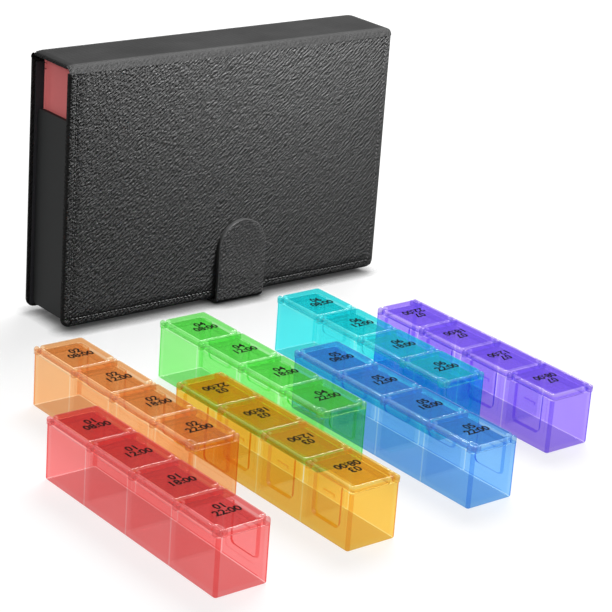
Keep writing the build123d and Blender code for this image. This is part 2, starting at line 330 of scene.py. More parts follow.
boxShape = {"width": 22.8, "length": 110.0, "height": 25.8, "rim": 23.2, "wall": 1.4, "floor": 1.4,
            "divider": 1.6, "cells": 4, "cornerRound": 1.3, "footRound": 0.9, "insideRound": 0.4,
            "knuckleRadius": 1.15, "knuckleLength": 2.4, "knuckleRound": 0.5, "knuckleRoot": 0.4,
            "endCap": 1.4, "seam": 0.3, "postWidth": 2.5, "postRound": 1.1, "seamHalf": 0.35}
recessShape = {"width": 15.2, "depth": 1.3, "foot": 6.9, "corner": 1.9, "soft": 0.55,
               "ribLength": 6.2, "ribHeight": 1.1, "ribProud": 0.5, "ribDrop": 5.4}
# where extra lines of points stand beside bends and borders, to keep the flats flat
meshSteps = {"leastBend": 0.02, "outlineHold": 0.2, "wallHold": 0.25, "lineMargin": 0.4, "footHold": 0.5,
             "levelHold": 0.3, "capHold": 0.25, "blockHold": 0.1, "lipHold": 0.2,
             "softRim": ((0, 0.25), (0.07, 0.07), (0.25, 0)),
             "border": (-0.5, -0.28, -0.1, 0.1, 0.28, 0.5), "corner": (0.85, 1.3, 1.9),
             "rib": (-0.4, -0.2, 0.0, 0.2, 0.4), "pocket": 4.5, "belowRim": (2.7, 0.6), "sharpAngle": 42}
halfWidth = boxShape["width"] / 2
halfLength = boxShape["length"] / 2
cellPitch = boxShape["length"] / boxShape["cells"]
cells = range(boxShape["cells"])
wall = boxShape["wall"]
seam = boxShape["seam"]
knuckle = boxShape["knuckleLength"]
rimZ = boxShape["rim"]
ribZ = rimZ - recessShape["ribDrop"]
barRadius = boxShape["knuckleRadius"]
hingeX = barRadius - halfWidth
hingeZ = boxShape["height"] - barRadius
quarter = [math.pi / 8 * k for k in range(5)]


def newShell():
    return {"verts": [], "faces": [], "zones": []}


def cellSpan(index):
    far = halfLength - index * cellPitch
    return far, far - cellPitch


def cellInside(index):
    far, near = cellSpan(index)
    far -= wall if index == cells[0] else boxShape["divider"] / 2
    near += wall if index == cells[-1] else boxShape["divider"] / 2
    return far, near


# steps of a rounded edge: how far in from the side, and how far short of the end
def quarterRound(radius):
    return [(radius * (1 - math.cos(a)), radius * (1 - math.sin(a))) for a in quarter]


# loops of points are joined by quads; zoneOf(loop, point) picks the finish
def addLoops(shell, loops, zoneOf, capStart=None, capEnd=None):
    base = len(shell["verts"])
    ring = len(loops[0])
    for loop in loops:
        shell["verts"] += loop
    shell["faces"] += joinRings(base, len(loops), ring)
    shell["zones"] += [zoneOf(i, k) for i in range(len(loops) - 1) for k in range(ring)]
    for first, zone in ((base, capStart), (base + (len(loops) - 1) * ring, capEnd)):
        if zone is not None:
            shell["faces"].append(tuple(range(first, first + ring)))
            shell["zones"].append(zone)


# outline of square corners (x, y, radius) going round anticlockwise, drawn in by inset
def outlineLoop(corners, inset, z):
    loop = []
    hold = meshSteps["outlineHold"]
    for k, (x, y, radius) in enumerate(corners):
        vertex = Vector((x, y))
        before = Vector(corners[k - 1][:2])
        after = Vector(corners[(k + 1) % len(corners)][:2])
        came = (vertex - before).normalized()
        goes = (after - vertex).normalized()
        turn = came.x * goes.y - came.y * goes.x
        if turn > 0:
            reach = max(radius, inset + meshSteps["leastBend"])
            bend = reach - inset
        else:
            reach = radius
            bend = radius + inset
        centre = vertex + (goes - came) * reach
        first = math.atan2(-goes.y, -goes.x)
        angles = [first + turn * a for a in quarter]
        arc = [centre + bend * Vector((math.cos(a), math.sin(a))) for a in angles]
        loop += [arc[0] - came * hold] + arc + [arc[-1] + goes * hold]
    return [(p.x, p.y, z) for p in loop]


def addBlock(shell, x0, x1, y0, y1, z0, z1, bend, zone):
    corners = [(x0, y0, bend), (x1, y0, bend), (x1, y1, bend), (x0, y1, bend)]
    loops = [outlineLoop(corners, 0, z0), outlineLoop(corners, 0, z1 - bend)]
    loops += [outlineLoop(corners, inset, z1 - down) for inset, down in quarterRound(bend)[1:]]
    loops.append(outlineLoop(corners, bend + meshSteps["blockHold"], z1))
    addLoops(shell, loops, lambda i, k: zone, zone, zone)


# a bar along the hinge line
def addBar(shell, radius, y0, y1, zone, bend=0.3, sides=20):
    stations = [(y0 + short, radius - inset) for inset, short in reversed(quarterRound(bend))]
    stations += [(y1 - short, radius - inset) for inset, short in quarterRound(bend)]
    turns = [2 * math.pi * k / sides for k in range(sides)]
    loops = [[(hingeX + r * math.cos(t), y, hingeZ + r * math.sin(t)) for t in turns] for y, r in stations]
    addLoops(shell, loops, lambda i, k: zone, zone, zone)


def softStep(distance):
    share = min(1, max(0, 0.5 - distance / recessShape["soft"]))
    return share * share * (3 - 2 * share)


def pocketShare(y, z, grow):
    index = min(cells[-1], max(cells[0], int((halfLength - y) / cellPitch)))
    middle = sum(cellSpan(index)) / 2
    bend = recessShape["corner"]
    across = abs(y - middle) - recessShape["width"] / 2 - grow + bend
    below = recessShape["foot"] - grow + bend - z
    outside = math.hypot(max(across, 0), max(below, 0))
    return softStep(min(max(across, below), 0) + outside - bend), middle


def pocketDepth(y, z):
    share, middle = pocketShare(y, z, 0)
    offRib = max(abs(y - middle) - recessShape["ribLength"] / 2, abs(z - ribZ) - recessShape["ribHeight"] / 2)
    return share * recessShape["depth"] - softStep(offRib) * recessShape["ribProud"]


def padDepth(y, z):
    return pocketShare(y, z, wall)[0] * recessShape["depth"]


dividerPlaces = [halfLength - cellPitch * k for k in cells[:0:-1]]
dividerLines = [y + side * boxShape["seamHalf"] for y in dividerPlaces for side in (-1, 1)]


# one ring round a box or cell, with extra points on the right-hand side where the pockets are
def wallLoop(x0, x1, y0, y1, bend, inset, z, lines, depthAt):
    loop = []
    inner = max(bend - inset, meshSteps["leastBend"])
    hold = meshSteps["wallHold"]
    margin = bend + meshSteps["lineMargin"]
    for cx, cy, first in ((x1 - bend, y0 + bend, -90), (x1 - bend, y1 - bend, 0),
                          (x0 + bend, y1 - bend, 90), (x0 + bend, y0 + bend, 180)):
        start = math.radians(first)
        arc = [(cx + inner * math.cos(start + a), cy + inner * math.sin(start + a)) for a in quarter]
        along = Vector((-math.sin(start), math.cos(start)))
        leave = Vector((-math.sin(start + math.pi / 2), math.cos(start + math.pi / 2)))
        loop.append((arc[0][0] - along.x * hold, arc[0][1] - along.y * hold, z))
        loop += [(x, y, z) for x, y in arc]
        loop.append((arc[-1][0] + leave.x * hold, arc[-1][1] + leave.y * hold, z))
        if first == -90:
            loop += [(x1 - inset - depthAt(y, z), y, z) for y in lines if y0 + margin < y < y1 - margin]
        if first == 90:
            loop += [(x0 + inset, y, z) for y in dividerLines[::-1] if y0 + bend < y < y1 - bend]
    return loop


def pocketLines(grow):
    edge = recessShape["width"] / 2 + grow
    rib = recessShape["ribLength"] / 2
    offsets = [edge - d for d in meshSteps["corner"]] + [edge + d for d in meshSteps["border"]]
    offsets += [rib + d for d in meshSteps["rib"]]
    lines = []
    for index in cells:
        middle = sum(cellSpan(index)) / 2
        lines += [middle] + [middle + side * offset for side in (-1, 1) for offset in offsets]
    return sorted(lines)


def pocketLevels(grow, low):
    foot = recessShape["foot"] - grow
    rib = recessShape["ribHeight"] / 2
    levels = [foot + d for d in (*meshSteps["border"], *meshSteps["corner"], meshSteps["pocket"])]
    levels += [ribZ + side * (rib + d) for side in (-1, 1) for d in meshSteps["rib"]]
    levels += [low, low + meshSteps["levelHold"]] + [rimZ - d for d in meshSteps["belowRim"]]
    return sorted(levels)


def buildBody():
    shell = newShell()
    foot = boxShape["footRound"]
    corner = boxShape["cornerRound"]
    hold = meshSteps["levelHold"]
    lines = sorted(pocketLines(0) + dividerLines)
    rings = [(foot + meshSteps["footHold"], 0.0)] + [(drawn, rise) for rise, drawn in quarterRound(foot)]
    rings += [(0, z) for z in pocketLevels(0, foot + hold)]
    rings += [(inset, rimZ - down) for inset, down in meshSteps["softRim"]]
    loops = [wallLoop(-halfWidth, halfWidth, -halfLength, halfLength, corner, inset, z, lines, pocketDepth)
             for inset, z in rings]
    count = len(loops[0])
    slack = 0.01
    seamStep = 1.0      # faces beside a divider are narrower than this
    pocketReach = 3.0   # the pockets stay this far from the corners, and are less deep
    borderSlope = 0.12  # change of depth in one face on a pocket's border

    def atCorner(point):
        return abs(point[0]) > halfWidth - corner - slack and abs(point[1]) > halfLength - corner - slack

    def outerZone(i, k):
        # the bottom and the first step of the foot's rounding: darker, painted shadow under the box
        if i < 2:
            return shadedBaseZone
        # the next step of the foot's rounding is a pale line, painted highlight
        if i == 2:
            return highlightSeamZone
        # the soft rim at the top takes the paler edge finish, painted highlight
        if i >= len(rings) - len(meshSteps["softRim"]):
            return highlightEdgeZone
        here = loops[i][k]
        after = loops[i][(k + 1) % count]
        middle = (here[1] + after[1]) / 2
        offDivider = min(abs(middle - y) for y in dividerPlaces)
        # faces over a divider are a pale line, painted highlight
        if abs(here[1] - after[1]) < seamStep and offDivider < boxShape["seamHalf"]:
            return highlightSeamZone
        deep = [p[0] for p in (here, after, loops[i + 1][k], loops[i + 1][(k + 1) % count])]
        onPockets = min(deep) > halfWidth - pocketReach and abs(here[1]) < halfLength - pocketReach
        if onPockets and max(deep) - min(deep) > borderSlope:
            return frameZone
        return frameZone if atCorner(here) and atCorner(after) else skinZone

    addLoops(shell, loops, outerZone, capStart=shadedBaseZone)
    bend = boxShape["insideRound"]
    floorZ = boxShape["floor"]
    inner = pocketLines(wall)
    cellRings = [(0, z) for z in [rimZ] + pocketLevels(wall, floorZ + bend + hold)[::-1]]
    cellRings += [(inset, floorZ + up) for inset, up in quarterRound(bend)]
    cellRings.append((bend + meshSteps["capHold"], floorZ))
    for index in cells:
        far, near = cellInside(index)
        cellLoops = [wallLoop(wall - halfWidth, halfWidth - wall, near, far, bend,
                              min(inset, bend - meshSteps["leastBend"]), z, inner, padDepth)
                     for inset, z in cellRings]
        walls = ([near] if index < cells[-1] else []) + ([far] if index > cells[0] else [])

        def innerZone(i, k, loops=cellLoops, walls=walls):
            pair = loops[i][k][1], loops[i][(k + 1) % len(loops[i])][1]
            on = [y for y in walls if max(abs(y - p) for p in pair) < 0.05]
            return dividerZone if on else insideZone

        addLoops(shell, cellLoops, innerZone, capEnd=insideZone)
    root = rimZ - boxShape["knuckleRoot"]
    tail = boxShape["endCap"] + seam - halfLength
    spots = [(cellSpan(index)[0] - knuckle, cellSpan(index)[0]) for index in cells]
    spots.append((tail, tail + knuckle))
    for near, far in spots:
        addBlock(shell, -halfWidth, 2 * barRadius - halfWidth, near, far, root, hingeZ,
                 boxShape["knuckleRound"], highlightEdgeZone)
        addBar(shell, barRadius, near, far, highlightEdgeZone)
    for index in cells:
        near = cellSpan(index)[1]
        addBlock(shell, halfWidth - boxShape["postWidth"], halfWidth, near, near + knuckle, root,
                 boxShape["height"], boxShape["postRound"], highlightEdgeZone)
    return shell


lidShape = {"lip": 0.75, "plate": 1.2, "barRound": 0.3, "notchRound": 0.4, "sideRound": 1.1,
            "cornerRound": 1.7, "plugDepth": 1.4, "plugWall": 0.9, "plugGap": 0.3, "plugClear": 0.2,
            "plugRound": 1.2, "plugSoft": (0.2, 0.25), "pin": 0.55, "pinReach": 1.0, "pinRoot": 0.5,
            "pinRound": 0.15, "pinSides": 10, "capReach": 1.5, "capRound": 0.4}


def buildLid(index):
    shell = newShell()
    last = index == cells[-1]
    far, near = cellSpan(index)
    top = far if index == cells[0] else far - seam / 2
    low = near if last else near + seam / 2
    notch = 2 * barRadius - halfWidth + seam
    barFar = far - knuckle - seam
    postX = halfWidth - boxShape["postWidth"] - seam
    postY = near + knuckle + seam
    tail = near + boxShape["endCap"]
    tailFar = tail + knuckle + 2 * seam
    bar = lidShape["barRound"]
    dent = lidShape["notchRound"]
    side = lidShape["sideRound"]
    corners = [(hingeX, low, bar), (postX, low, side), (postX, postY, dent), (halfWidth, postY, side),
               (halfWidth, top, lidShape["cornerRound"]), (notch, top, side), (notch, barFar, dent),
               (hingeX, barFar, bar)]
    if last:
        corners[0] = (notch, low, side)
        corners += [(hingeX, tailFar, bar), (notch, tailFar, bar)]
    under = rimZ + seam
    head = boxShape["height"]
    lip = lidShape["lip"]
    softRim = meshSteps["softRim"]
    rings = [(inset, under + up) for inset, up in reversed(softRim)]
    rings += [(0, head - lip - meshSteps["lipHold"]), (0, head - lip)]
    rings += [(inset, head - down) for inset, down in quarterRound(lip)[1:]]
    rings.append((lip + meshSteps["capHold"], head))
    # the lid's rim takes the paler edge finish, painted highlight, and its top the lid finish with its
    # painted shade
    addLoops(shell, [outlineLoop(corners, inset, z) for inset, z in rings],
             lambda i, k: highlightEdgeZone if i >= len(softRim) else skinZone, capEnd=shadedLidZone)
    cellFar, cellNear = cellInside(index)
    gap = lidShape["plugGap"]
    left = notch + lidShape["plugClear"]
    right = halfWidth - wall - recessShape["depth"] - gap
    bend = lidShape["plugRound"]
    plug = [(left, cellNear + gap, bend), (right, cellNear + gap, bend),
            (right, cellFar - gap, bend), (left, cellFar - gap, bend)]
    foot = rimZ - lidShape["plugDepth"]
    thick = lidShape["plugWall"]
    softIn, softUp = lidShape["plugSoft"]
    rings = [(0, under), (0, foot + softUp), (softIn, foot), (thick - softIn, foot), (thick, foot + softUp),
             (thick, head - lidShape["plate"])]
    addLoops(shell, [outlineLoop(plug, inset, z) for inset, z in rings],
             lambda i, k: dividerZone if i in (0, 4) else highlightEdgeZone, capEnd=shadedLidZone)

    def addPin(y0, y1):
        addBar(shell, lidShape["pin"], y0, y1, insideZone, lidShape["pinRound"], lidShape["pinSides"])

    root = lidShape["pinRoot"]
    reach = lidShape["pinReach"]
    addPin(barFar - root, barFar + seam + reach)
    if last:
        addBlock(shell, hingeX, notch + lidShape["capReach"], low, tail, under, head, lidShape["capRound"],
                 highlightEdgeZone)
        addBar(shell, barRadius, low, tail, highlightEdgeZone)
        addBar(shell, barRadius, tailFar, barFar, highlightEdgeZone)
        addPin(tail - root, tail + seam + reach)
    else:
        addBar(shell, barRadius, low, barFar, highlightEdgeZone)
        addPin(low - reach, low + root)
    return shell


def shellMesh(name, shell):
    mesh = bpy.data.meshes.new(name)
    mesh.from_pydata([(x * mm, y * mm, z * mm) for x, y, z in shell["verts"]], [], shell["faces"])
    bm = bmesh.new()
    bm.from_mesh(mesh)
    for face, zone in zip(bm.faces, shell["zones"]):
        face.material_index = zone
    openEdges = [edge for edge in bm.edges if edge.is_boundary]
    filled = bmesh.ops.triangle_fill(bm, use_beauty=True, edges=openEdges)
    for made in filled["geom"]:
        if isinstance(made, bmesh.types.BMFace):
            made.material_index = insideZone
    smoothMesh(bm, mesh, meshSteps["sharpAngle"])
    return mesh


bodyMesh = shellMesh("dayBox", buildBody())
lidMeshes = [shellMesh("dayLid", buildLid(index)) for index in cells]


def moulded(name, mesh, place, finishes, body, node):
    copy = mesh.copy()
    copy.name = name
    copy.transform(place)
    for finish in finishes:
        copy.materials.append(finish)
    made = addObject(name, copy)
    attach(made, body)
    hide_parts(node)
    return made


turnedBoxes = ("yellow", "purple")
for colour in plastics:
    low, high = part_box(colour + "_box")
    turn = Matrix.Rotation(math.pi if colour in turnedBoxes else 0, 4, "Z")
    place = Matrix.Translation(((low.x + high.x) / 2, (low.y + high.y) / 2, 0)) @ turn
    moulded(colour + "Box", bodyMesh, place, plastics[colour], colour + "_day", colour + "_box")
    for index in cells:
        node = "%s_lid_%d" % (colour, index + 1)
        moulded("%sLid%d" % (colour, index + 1), lidMeshes[index], place, plastics[colour],
                node, node)

low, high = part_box("stowed_box")
stowPlace = (Matrix.Translation(((low.x + high.x) / 2, low.y, (low.z + high.z) / 2))
             @ Matrix.Rotation(-math.pi / 2, 4, "X"))
stowedPieces = [moulded("stowedBox", bodyMesh, stowPlace, litStowedReds, "stowed_day", "stowed_box")]
for index in cells:
    stowedPieces.append(moulded("stowedLid%d" % (index + 1), lidMeshes[index], stowPlace, litStowedReds,
                                "stowed_day", "stowed_lids"))
print("boxes and lids moulded")


# leather slabs: a grid with rolled edges and a sunk stitch channel, closed at the back

panelShape = {"edge": 1.1 * mm, "corner": 4.2 * mm, "step": 5 * mm, "inset": 3.9 * mm, "fall": 0.6 * mm,
              "channelDepth": 0.38 * mm, "channelWidth": 0.7 * mm, "swell": 0.1 * mm, "swellScale": 38,
              "swellSeed": 3.7, "border": 8 * mm, "leastStep": 0.02 * mm,
              "edgeSteps": (0, 0.06, 0.2, 0.45, 0.75, 1.0), "channelSteps": (-1.4, -0.7, 0, 0.7, 1.4)}
farOff = 1.0   # stands for the distance to a side that isn't turned in or stitched


# how far the face sinks towards a turned edge: a slope outside the seam, then the roll
def sinkAt(gapU, gapV):
    edge = panelShape["edge"]
    slope = panelShape["fall"] * max(0, 1 - min(gapU, gapV) / panelShape["inset"]) ** 1.5
    reach = min(math.hypot(max(0, edge - gapU), max(0, edge - gapV)), edge)
    return slope + edge - math.sqrt(edge * edge - reach * reach)


def gridLines(low, high, rolledLow, rolledHigh):
    edge = panelShape["edge"]
    inset = panelShape["inset"]
    near = [edge * share for share in panelShape["edgeSteps"]] + [(edge + inset) / 2]
    near += [inset + panelShape["channelWidth"] * k for k in panelShape["channelSteps"]]
    lines = [low, high]
    if rolledLow:
        lines += [low + d for d in near]
    if rolledHigh:
        lines += [high - d for d in near]
    first = low + (panelShape["border"] if rolledLow else 0)
    last = high - (panelShape["border"] if rolledHigh else 0)
    count = max(2, round((last - first) / panelShape["step"]))
    lines += [first + (last - first) * k / count for k in range(count + 1)]
    lines.sort()
    kept = [lines[0]]
    for value in lines[1:]:
        if value - kept[-1] > panelShape["leastStep"]:
            kept.append(value)
    return kept


def roundCorner(u, v, lowU, highU, lowV):
    radius = panelShape["corner"]
    centreV = lowV + radius
    side = -1 if u < (lowU + highU) / 2 else 1
    centreU = lowU + radius if side < 0 else highU - radius
    a = (u - centreU) * side / radius
    b = (centreV - v) / radius
    if a <= 0 or b <= 0:
        return u, v
    return (centreU + side * radius * a * math.sqrt(1 - b * b / 2),
            centreV - radius * b * math.sqrt(1 - a * a / 2))


# place turns (u, v, outward height) into a point; rolled names the sides u0 u1 v0 v1 that are turned in
def makeSlab(name, spanU, spanV, thick, rolled, stitched, place, material, cornered=False):
    us = gridLines(*spanU, "u0" in rolled, "u1" in rolled)
    vs = gridLines(*spanV, "v0" in rolled, "v1" in rolled)
    inset = panelShape["inset"]
    channel = panelShape["channelWidth"]
    scale = panelShape["swellScale"]
    verts = []
    for layer in (0, 1):
        for u in us:
            for v in vs:
                gap = {"u0": u - spanU[0], "u1": spanU[1] - u, "v0": v - spanV[0], "v1": spanV[1] - v}
                drop = sinkAt(min([gap[s] for s in ("u0", "u1") if s in rolled] or [farOff]),
                              min([gap[s] for s in ("v0", "v1") if s in rolled] or [farOff]))
                seam = min([abs(gap[s] - inset) for s in stitched] or [farOff])
                sunk = 0
                if min([gap[s] for s in stitched] or [farOff]) > inset - 2 * channel:
                    sunk = panelShape["channelDepth"] * math.exp(-(seam / channel) ** 2)
                wave = noise.noise(Vector((u * scale, v * scale, panelShape["swellSeed"])))
                swell = min(0, panelShape["swell"] * wave)
                height = swell - drop - sunk if layer == 0 else -thick
                pu, pv = roundCorner(u, v, *spanU, spanV[0]) if cornered else (u, v)
                verts.append(place(pu, pv, height))
    columns = len(vs)
    total = len(us) * columns
    faces = []
    for i in range(len(us) - 1):
        for j in range(columns - 1):
            a = i * columns + j
            faces.append((a, a + columns, a + columns + 1, a + 1))
            faces.append((a + total, a + total + 1, a + total + columns + 1, a + total + columns))
    rim = [i * columns for i in range(len(us))]
    rim += [(len(us) - 1) * columns + j for j in range(1, columns)]
    rim += [i * columns + columns - 1 for i in range(len(us) - 2, -1, -1)]
    rim += list(range(columns - 2, 0, -1))
    for k, a in enumerate(rim):
        b = rim[(k + 1) % len(rim)]
        faces.append((a, b, b + total, a + total))
    return meshObject(name, verts, faces, material)


frontLow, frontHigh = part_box("front_leather")
coverLow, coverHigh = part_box("cover_leather")
spineLow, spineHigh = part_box("spine_leather")
foldLow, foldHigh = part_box("front_fold")
rearLow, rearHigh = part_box("rear_fold")
threeSides = ("u0", "u1", "v0")

frontPanel = makeSlab("frontPanel", (frontLow.x, frontHigh.x), (frontLow.z, foldLow.z),
                      frontHigh.y - frontLow.y, threeSides, threeSides,
                      lambda u, v, h: (u, frontLow.y - h, v), caseLeather, True)
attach(frontPanel, "case")
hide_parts("front_leather")

coverPanel = makeSlab("coverPanel", (coverLow.x, coverHigh.x), (coverLow.z, rearLow.z),
                      coverHigh.y - coverLow.y, threeSides, threeSides,
                      lambda u, v, h: (u, coverHigh.y + h, v), caseLeather, True)
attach(coverPanel, "cover")
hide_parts("cover_leather")

spinePanel = makeSlab("spinePanel", (spineLow.x, spineHigh.x), (foldHigh.y, rearLow.y),
                      spineHigh.z - spineLow.z, ("u0", "u1"), (),
                      lambda u, v, h: (u, v, spineHigh.z + h), caseLeather)
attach(spinePanel, "spine")
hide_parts("spine_leather")
print("panels built")


# leather folds along the two top edges

foldShape = {"leather": 1.0 * mm, "radius": 3.5 * mm, "arcSteps": 10, "tuckLimit": 0.85, "giveLimit": 0.9,
             "crumple": 0.12 * mm, "crumpleAt": 5 * mm, "crumpleWidth": 3 * mm, "crumpleScale": (260, 0.7)}


def makeFold(name, low, high, panelSide):
    radius = foldShape["radius"]
    leather = foldShape["leather"]
    steps = foldShape["arcSteps"]
    alongScale, acrossScale = foldShape["crumpleScale"]
    centreY = low.y + radius if panelSide < 0 else high.y - radius
    centreZ = high.z - radius
    tongue = high.y if panelSide < 0 else low.y
    section = []
    for inner in (0, 1):
        r = radius - inner * leather
        path = [(centreY + panelSide * r, low.z)]
        for k in range(steps + 1):
            turn = math.pi / 2 * k / steps
            path.append((centreY + panelSide * r * math.cos(turn), centreZ + r * math.sin(turn)))
        path.append((tongue, centreZ + r))
        section += path if inner == 0 else path[::-1]
    stations = gridLines(low.x, high.x, True, True)
    ring = len(section)
    half = ring // 2
    verts = []
    for x in stations:
        fromEnd = min(x - low.x, high.x - x)
        tuck = min(sinkAt(fromEnd, farOff), leather * foldShape["tuckLimit"])
        offCrumple = (fromEnd - foldShape["crumpleAt"]) / foldShape["crumpleWidth"]
        loose = foldShape["crumple"] * math.exp(-offCrumple ** 2)
        for k, (y, z) in enumerate(section):
            if k < half:   # the outside of the leather
                turn = math.pi / 2 * min(max(k - 1, 0), steps) / steps
                give = tuck + loose * abs(noise.noise(Vector((x * alongScale, k * acrossScale, panelSide))))
                give = min(give, leather * foldShape["giveLimit"])
                y -= panelSide * give * math.cos(turn)
                z -= give * math.sin(turn)
            verts.append((x, y, z))
    faces = joinRings(0, len(stations), ring)
    for a in (0, (len(stations) - 1) * ring):
        for k in range(half - 1):
            faces.append((a + k, a + k + 1, a + ring - 2 - k, a + ring - 1 - k))
    return meshObject(name, verts, faces, caseLeather)


frontFold = makeFold("frontFold", foldLow, foldHigh, -1)
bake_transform(frontFold)
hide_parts("front_fold")
rearFold = makeFold("rearFold", rearLow, rearHigh, 1)
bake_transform(rearFold)
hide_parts("rear_fold")
print("folds built")


# closing strap: one leather band from the rear cover, under the case and up the front as the tab

strapShape = {"edgeRound": 0.6, "edgePoints": 5, "facePoints": 8, "roundSteps": 12, "bendSteps": 8,
              "straightStep": 2 * mm, "bendGap": 1.0 * mm, "bulge": 0.3 * mm, "swellLength": 9 * mm,
              "crease": 1.6 * mm, "creaseDepth": 0.16 * mm, "creaseHalf": 0.4 * mm, "spareStep": 0.02 * mm,
              "anchorBend": (4 * mm, 9 * mm, 2 * mm), "anchorLift": 0.15 * mm, "anchorTrim": 1.2 * mm,
              "leastHalf": 0.4 * mm}

tipLow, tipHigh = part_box("tab_tip")
underLow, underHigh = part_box("tab_strap")
anchorLow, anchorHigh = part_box("tab_anchor")
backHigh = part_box("tab_backing")[1]
strapThick = underHigh.z - underLow.z
strapHalf = (underHigh.x - underLow.x) / 2
strapX = (underHigh.x + underLow.x) / 2
strapRise = tipHigh.z - strapHalf
bendZ = strapThick + strapShape["bendGap"]
quarterTurns = [math.pi / 2 * k / strapShape["bendSteps"] for k in range(strapShape["bendSteps"] + 1)]


def strapPath():
    half = strapThick / 2
    bendRadius = bendZ - half
    rearY = underHigh.y
    frontY = tipLow.y + bendZ
    anchorY = rearY + half
    aboveMiddle, liftUp, turnUp = strapShape["anchorBend"]
    points = [(anchorY, anchorHigh.z), (anchorY, (anchorHigh.z + bendZ) / 2 + aboveMiddle)]
    points += [(anchorY + strapShape["anchorLift"], bendZ + liftUp), (rearY + bendRadius, bendZ + turnUp)]
    points += [(rearY + bendRadius * math.cos(t), bendZ - bendRadius * math.sin(t)) for t in quarterTurns]
    steps = round((rearY - frontY) / strapShape["straightStep"])
    points += [(rearY + (frontY - rearY) * k / steps, half) for k in range(1, steps)]
    points += [(frontY - bendRadius * math.sin(t), bendZ - bendRadius * math.cos(t)) for t in quarterTurns]
    thick = [strapThick] * len(points)
    leaf = backHigh.y - tipLow.y
    count = round((strapRise - bendZ) / strapShape["straightStep"])
    for k in range(1, count + 1):
        climb = (strapRise - bendZ) * k / count
        ease = min(1, climb / strapShape["swellLength"])
        thick.append(strapThick + (leaf - strapThick) * ease * ease * (3 - 2 * ease))
        belly = strapShape["bulge"] * math.sin(math.pi * k / count) ** 2
        points.append((tipLow.y + thick[-1] / 2 - belly, bendZ + climb))
    widths = [strapHalf] * len(points)
    for k in range(1, strapShape["roundSteps"] + 1):
        turn = math.pi / 2 * k / strapShape["roundSteps"]
        points.append((tipLow.y + leaf / 2, strapRise + strapHalf * math.sin(turn)))
        widths.append(max(strapShape["leastHalf"], strapHalf * math.cos(turn)))
        thick.append(leaf)
    widths[0] = strapHalf - strapShape["anchorTrim"]
    return points, widths, thick


# points over the outer face of one ring, with the crease that runs along the border
def strapFace(wide, edge, half, above):
    row = [(-wide + edge, half)]
    inner = strapHalf - strapShape["crease"]
    if inner > above:
        at = math.sqrt(inner * inner - above * above)
        for side in (-1, 1):
            for step, sunk in ((-1, 0), (0, 1), (1, 0)):
                x = side * at + step * strapShape["creaseHalf"]
                if abs(x) < wide - edge:
                    row.append((x, half - sunk * strapShape["creaseDepth"]))
    spare = strapShape["facePoints"] - 1 - len(row)
    row += [(strapShape["spareStep"] * k, half) for k in range(spare)]
    row.append((wide - edge, half))
    return sorted(row)


def makeStrap():
    points, widths, thick = strapPath()
    facePoints = strapShape["facePoints"]
    edgePoints = strapShape["edgePoints"]
    ring = 2 * (facePoints + edgePoints)
    edgeTurns = [math.pi * k / (edgePoints + 1) for k in range(1, edgePoints + 1)]
    verts = []
    for i, (y, z) in enumerate(points):
        before = points[max(0, i - 1)]
        after = points[min(len(points) - 1, i + 1)]
        along = Vector((0, after[0] - before[0], after[1] - before[1])).normalized()
        out = Vector((0, along.z, -along.y))   # away from the case
        half = thick[i] / 2
        edge = min(strapShape["edgeRound"] * strapThick / 2, widths[i] * 0.5)
        flat = widths[i] - edge
        above = max(0, z - strapRise) if i > len(points) / 2 else 0
        loop = strapFace(widths[i], edge, half, above)
        loop += [(flat + edge * math.sin(t), half * math.cos(t)) for t in edgeTurns]
        loop += [(flat - 2 * flat * k / (facePoints - 1), -half) for k in range(facePoints)]
        loop += [(-flat - edge * math.sin(t), -half * math.cos(t)) for t in edgeTurns]
        for x, h in loop:
            at = Vector((strapX + x, y, z)) + out * h
            verts.append((at.x, at.y, max(at.z, 0.0)))
    faces = joinRings(0, len(points), ring)
    faces.append(tuple(range(ring)))
    last = (len(points) - 1) * ring
    faces.append(tuple(range(last + ring - 1, last - 1, -1)))
    made = meshObject("closingStrap", verts, faces, tabLeather, 50)
    made.data.materials.append(edgePaint)
    painted = (*range(facePoints - 1, facePoints + edgePoints), *range(ring - edgePoints - 1, ring))
    for face in made.data.polygons[:-2]:
        if face.index % ring in painted:
            face.material_index = 1
    return made


closingStrap = makeStrap()
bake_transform(closingStrap)
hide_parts("tab_tip", "tab_backing", "tab_strap", "tab_anchor")
print("strap built")


# stitches: small thread humps set into the channels

stitchShape = {"pitch": 2.1 * mm, "length": 1.5 * mm, "radius": 0.24 * mm, "sides": 6, "rings": 5,
               "blunt": 0.06, "sunk": 0.1 * mm, "headGap": 1.5 * mm, "anchorInset": 2.6 * mm,
               "anchorHeight": 11 * mm}


def addStitches(verts, faces, start, end, out):
    along = (end - start).normalized()
    across = along.cross(out)
    count = max(1, int((end - start).length / stitchShape["pitch"]))
    pitch = (end - start).length / count
    rings = stitchShape["rings"]
    sides = stitchShape["sides"]
    for s in range(count):
        middle = start + along * pitch * (s + 0.5)
        base = len(verts)
        for r in range(rings):
            share = r / (rings - 1) * 2 - 1
            girth = stitchShape["radius"] * math.sqrt(max(stitchShape["blunt"], 1 - share * share))
            centre = middle + along * share * stitchShape["length"] / 2
            for k in range(sides):
                turn = 2 * math.pi * k / sides
                verts.append(centre + across * girth * math.cos(turn) + out * girth * math.sin(turn))
        faces += joinRings(base, rings, sides)
        for first in (base, base + (rings - 1) * sides):
            faces.append(tuple(range(first, first + sides)))


def sew(name, corners, outY, body):
    verts = []
    faces = []
    places = [Vector(corner) for corner in corners]
    for start, end in zip(places, places[1:]):
        addStitches(verts, faces, start, end, Vector((0, outY, 0)))
    made = meshObject(name, verts, faces, blackThread, 80)
    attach(made, body)
    return made


